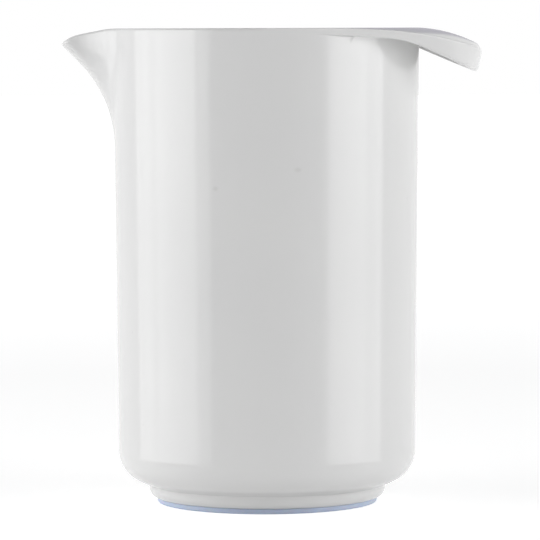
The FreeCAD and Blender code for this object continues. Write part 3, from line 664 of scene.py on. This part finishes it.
def cloudySurface(name, setup):
    # a moulded plastic whose colour and gloss both drift a little from place to place
    material, bsdf = addMaterial(name, {"IOR": setup["ior"]})
    place = addNode(material, "ShaderNodeTexCoord").outputs["Object"]
    pattern = {"Scale": 1 / (setup["cloudSize"] * mm), "Detail": setup["cloudDetail"]}
    cloud = addNode(material, "ShaderNodeTexNoise", pattern, {"Vector": place})
    colour = addNode(material, "ShaderNodeMix", {"data_type": "RGBA"}, {"Factor": cloud.outputs["Fac"]})
    colour.inputs[mixSockets["first"]].default_value = linear(setup["pale"])
    colour.inputs[mixSockets["second"]].default_value = linear(setup["shade"])
    low, high = setup["roughness"]
    gloss = addNode(material, "ShaderNodeMapRange", {"To Min": low, "To Max": high},
                    {"Value": cloud.outputs["Fac"]})
    material.node_tree.links.new(gloss.outputs["Result"], bsdf.inputs["Roughness"])
    return material, bsdf, place, colour.outputs[mixSockets["result"]]


def addRelief(material, bsdf, place, size, height):
    # shallow relief of one size all over, heights in mm
    pattern = {"Scale": 1 / (size * mm), "Detail": 1.0}
    noise = addNode(material, "ShaderNodeTexNoise", pattern, {"Vector": place})
    bump = addNode(material, "ShaderNodeBump", {"Strength": 1.0, "Distance": height * mm},
                   {"Height": noise.outputs["Fac"]})
    material.node_tree.links.new(bump.outputs["Normal"], bsdf.inputs["Normal"])


def marked(material, colour, amount, setup, strength):
    # the colour with handling marks laid over it where the amount is 1
    share = addNode(material, "ShaderNodeMath", {"operation": "MULTIPLY", 1: strength}, {0: amount})
    layer = addNode(material, "ShaderNodeMix", {"data_type": "RGBA"}, {"Factor": share.outputs[0]})
    material.node_tree.links.new(colour, layer.inputs[mixSockets["first"]])
    layer.inputs[mixSockets["second"]].default_value = linear(setup["scuffColour"])
    return layer.outputs[mixSockets["result"]]


def mouldedMelamine(setup):
    # melamine resin pressed in a polished steel mould: hard white gloss, a few grey rub marks from use
    material, bsdf, place, colour = cloudySurface("mouldedMelamine", setup)
    front = -jug["rimRadius"]
    for x, z, halfWidth, halfHeight in setup["scuffs"]:
        centre = (x * mm, front * mm, z * mm)
        offset = addNode(material, "ShaderNodeVectorMath", {"operation": "SUBTRACT", 1: centre}, {0: place})
        size = (halfWidth * mm, setup["scuffDepth"] * mm, halfHeight * mm)
        ratio = addNode(material, "ShaderNodeVectorMath", {"operation": "DIVIDE", 1: size},
                        {0: offset.outputs["Vector"]})
        reach = addNode(material, "ShaderNodeVectorMath", {"operation": "LENGTH"},
                        {0: ratio.outputs["Vector"]})
        fade = {"From Min": setup["scuffEven"], "From Max": 1.0, "To Min": 1.0, "To Max": 0.0}
        scuff = addNode(material, "ShaderNodeMapRange", fade, {"Value": reach.outputs["Value"]})
        colour = marked(material, colour, scuff.outputs["Result"], setup, setup["scuffStrength"])
    cells = addNode(material, "ShaderNodeTexVoronoi", {"Scale": 1 / (setup["speckSpacing"] * mm)},
                    {"Vector": place})
    radius = setup["speckRadius"]
    fade = {"From Min": radius / 2, "From Max": radius, "To Min": 1.0, "To Max": 0.0}
    speck = addNode(material, "ShaderNodeMapRange", fade, {"Value": cells.outputs["Distance"]})
    colour = marked(material, colour, speck.outputs["Result"], setup, setup["speckStrength"])
    material.node_tree.links.new(colour, bsdf.inputs["Base Color"])
    addRelief(material, bsdf, place, setup["orangePeel"], setup["orangePeelHeight"])
    return material


def mouldedElastomer(setup):
    # soft thermoplastic rubber moulded onto the foot: milky, satin, slightly see-through at its edge
    material, bsdf, place, colour = cloudySurface("mouldedElastomer", setup)
    material.node_tree.links.new(colour, bsdf.inputs["Base Color"])
    addRelief(material, bsdf, place, setup["grain"], setup["grainHeight"])
    bsdf.inputs["Subsurface Weight"].default_value = setup["scatter"]
    bsdf.inputs["Subsurface Scale"].default_value = setup["scatterDepth"] * mm
    return material


body.data.materials.append(mouldedMelamine(melamineSetup))
band.data.materials.append(mouldedElastomer(elastomerSetup))

# studio: a white sweep, and a tall soft panel standing on either side
studio = {
    "sky": (0.98, 0.985, 1.0), "skyLevel": 0.19, "floorColour": "#f2f2f2",
    "floorHalf": 8.0, "glowNear": 0.60, "glowFar": 1.0, "glowFrom": 0.5, "glowTo": 2.0,
}
# each panel is a row of strips, from the camera's side to the back: azimuths and radiance
panels = {
    "leftPanel": ((-43, -54, 1.15), (-54, -90, 2.75), (-90, -104, 1.9), (-104, -114, 1.35)),
    "rightPanel": ((41, 47, 0.45), (47, 52, 2.3), (52, 80, 2.85), (80, 97, 1.9)),
}
panelDistance = 1.9
panelHeights = {"upper": (0.0, 1.4, 1.0), "lower": (-0.35, 0.0, 0.75)}  # bottom, top, share of radiance
panelColour = (1.0, 1.0, 1.0)


def hideFrom(thing, *rays):
    for ray in rays:
        setattr(thing, "visible_" + ray, False)


def addSheet(name, corners):
    # one flat face that belongs to the studio, not to the object
    mesh = bpy.data.meshes.new(name)
    mesh.from_pydata(corners, [], [range(len(corners))])
    sheet = addObject(name, mesh)
    return sheet


def whiteToEye(owner):
    # 1 where the camera or a reflection looks, 0 where the surface only lights the object
    path = addNode(owner, "ShaderNodeLightPath")
    seen = addNode(owner, "ShaderNodeMath", {"operation": "MAXIMUM"})
    either = addNode(owner, "ShaderNodeMath", {"operation": "MAXIMUM"})
    tree = owner.node_tree
    tree.links.new(path.outputs["Is Camera Ray"], seen.inputs[0])
    tree.links.new(path.outputs["Is Glossy Ray"], seen.inputs[1])
    tree.links.new(seen.outputs[0], either.inputs[0])
    tree.links.new(path.outputs["Is Transmission Ray"], either.inputs[1])
    return either.outputs[0]


def addSky(setup):
    world = bpy.data.worlds.new("Studio")
    bpy.context.scene.world = world
    world.use_nodes = True
    tree = world.node_tree
    light = tree.nodes["Background"]
    light.inputs["Color"].default_value = (*setup["sky"], 1)
    light.inputs["Strength"].default_value = setup["skyLevel"]
    white = addNode(world, "ShaderNodeBackground", {"Color": (1, 1, 1, 1), "Strength": 1.0})
    choice = addNode(world, "ShaderNodeMixShader", None, {"Fac": whiteToEye(world)})
    tree.links.new(light.outputs[0], choice.inputs[1])
    tree.links.new(white.outputs[0], choice.inputs[2])
    tree.links.new(choice.outputs[0], tree.nodes["World Output"].inputs["Surface"])


def addFloor(setup):
    half = setup["floorHalf"]
    floor = addSheet("Floor", [(-half, -half, 0), (half, -half, 0), (half, half, 0), (-half, half, 0)])
    # the panels reach below the floor: their light and their reflection pass through it
    hideFrom(floor, "glossy", "shadow")
    # matt seamless paper that glows a little, so that it stays white all the way out
    paper, bsdf = addMaterial("whitePaperSweep", {
        "Base Color": linear(setup["floorColour"]), "Roughness": 1.0, "Specular IOR Level": 0.0,
        "Emission Color": (1, 1, 1, 1)})
    place = addNode(paper, "ShaderNodeTexCoord").outputs["Object"]
    away = addNode(paper, "ShaderNodeVectorMath", {"operation": "LENGTH"}, {"Vector": place})
    growth = {"From Min": setup["glowFrom"], "From Max": setup["glowTo"],
              "To Min": setup["glowNear"], "To Max": setup["glowFar"]}
    fade = addNode(paper, "ShaderNodeMapRange", growth, {"Value": away.outputs["Value"]})
    glow = addNode(paper, "ShaderNodeMath", {"operation": "MULTIPLY"}, {"Value": whiteToEye(paper)})
    paper.node_tree.links.new(fade.outputs["Result"], glow.inputs[1])
    paper.node_tree.links.new(glow.outputs[0], bsdf.inputs["Emission Strength"])
    floor.data.materials.append(paper)


def addStrip(name, azimuths, heights, radiance):
    # an upright strip of light between two azimuths, square to the jug
    first, last = azimuths
    low, high = heights
    middle = math.radians((first + last) / 2)
    data = bpy.data.lights.new(name, "AREA")
    data.shape = "RECTANGLE"
    data.size = 2 * panelDistance * math.tan(math.radians(abs(last - first) / 2))
    data.size_y = high - low
    data.energy = radiance * math.pi * data.size * data.size_y
    data.color = panelColour
    lamp = addObject(name, data)
    place = Vector((math.sin(middle), -math.cos(middle), 0)) * panelDistance
    lamp.location = place + Vector((0, 0, (low + high) / 2))
    lamp.rotation_euler = (-place).to_track_quat("-Z", "Y").to_euler()


# light thrown back up by a pale table top
bounce = {"size": 4.0, "place": (0.0, -0.4, -0.5), "radiance": 0.30,
          "shadeRadius": 0.062, "shadeHeight": -0.002, "shadeCorners": 36}


def addBounce(setup):
    data = bpy.data.lights.new("TableBounce", "AREA")
    data.size = setup["size"]
    data.energy = setup["radiance"] * math.pi * setup["size"] ** 2
    lamp = addObject("TableBounce", data)
    lamp.location = setup["place"]
    lamp.rotation_euler = (math.pi, 0, 0)
    hideFrom(lamp, "glossy")
    data.cycles.use_multiple_importance_sampling = False  # its light has to reach the jug past the floor
    # the table close round the foot lies in the jug's own shade and sends little back up
    radius, height = setup["shadeRadius"], setup["shadeHeight"]
    turns = spaced(0, 2 * math.pi, setup["shadeCorners"])
    shade = addSheet("TableShade", [(radius * math.cos(a), radius * math.sin(a), height) for a in turns])
    hideFrom(shade, "camera", "diffuse", "glossy")


# a grey card far behind, seen only in the brim's grazing reflection, so that its top reads against white
card = {"distance": 2.6, "half": 0.36, "foot": 0.01, "top": 1.2, "colour": (0.50, 0.49, 0.55)}


def addCard(setup):
    half, far, low, high = setup["half"], setup["distance"], setup["foot"], setup["top"]
    corners = [(-half, far, low), (half, far, low), (half, far, high), (-half, far, high)]
    sheet = addSheet("GreyCard", corners)
    # grey board of one even tone, whatever light falls on it
    board = addMaterial("greyCard", {
        "Base Color": (0, 0, 0, 1), "Specular IOR Level": 0.0,
        "Emission Color": (*setup["colour"], 1), "Emission Strength": 1.0})[0]
    sheet.data.materials.append(board)
    hideFrom(sheet, "camera", "diffuse", "shadow")


bpy.context.scene.view_settings.view_transform = "Standard"
addSky(studio)
addFloor(studio)
for name, strips in panels.items():
    for number, (first, last, radiance) in enumerate(strips, start=1):
        for part, (low, high, share) in panelHeights.items():
            addStrip("%s%d%s" % (name, number, part), (first, last), (low, high), radiance * share)
addBounce(bounce)
addCard(card)
print("studio ready")
